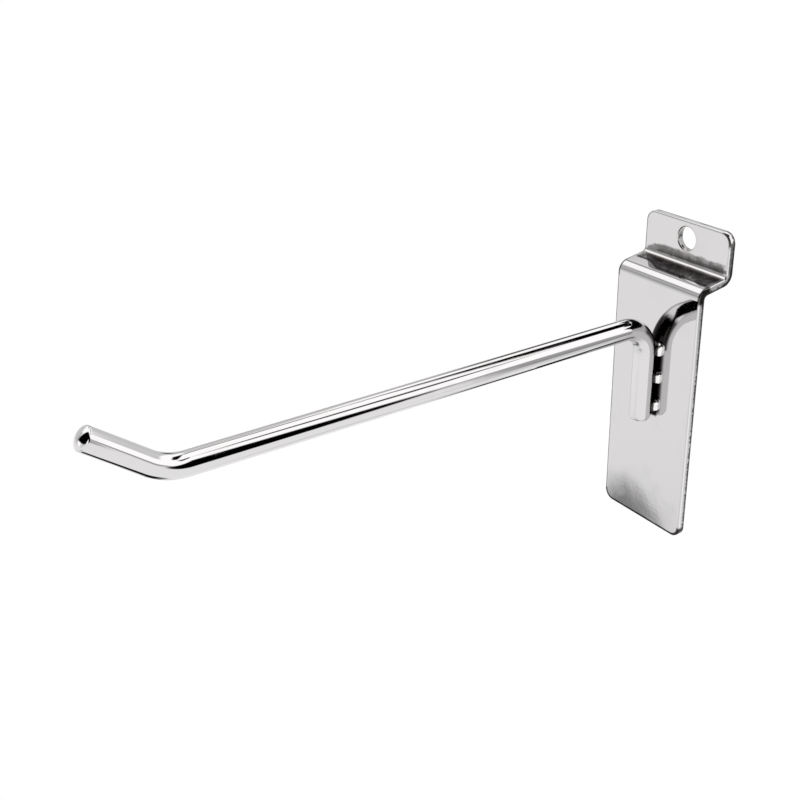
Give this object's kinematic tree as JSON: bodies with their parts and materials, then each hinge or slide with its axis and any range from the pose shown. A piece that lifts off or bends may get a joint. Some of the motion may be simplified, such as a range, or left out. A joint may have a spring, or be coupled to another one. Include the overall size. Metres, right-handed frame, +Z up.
{
  "type": "slatwall hook",
  "caption": "Display hook for a slatwall panel: a bent wire rod with an upturned, domed tip, welded to a folded sheet plate whose tongue catches behind the panel's lip.",
  "frame": {"origin": "on the plate's rear face, midway across it and level with the axis of the rod's straight run", "axes": "+Y into the wall, +Z up, +X across the plate; the rod reaches out along -Y"},
  "size_m": [0.03, 0.1705, 0.087],
  "materials": {
    "chrome_sheet": "bright chrome plate on cold-rolled sheet",
    "chrome_wire": "bright chrome plate on drawn wire",
    "weld_metal": "chrome plate over lumpy weld metal"
  },
  "bodies": {
    "root": {"back_plate": "chrome_sheet", "hook_rod": "chrome_wire", "weld_bead_top": "weld_metal", "weld_bead_middle": "weld_metal", "weld_bead_bottom": "weld_metal"}
  },
  "joints": []
}
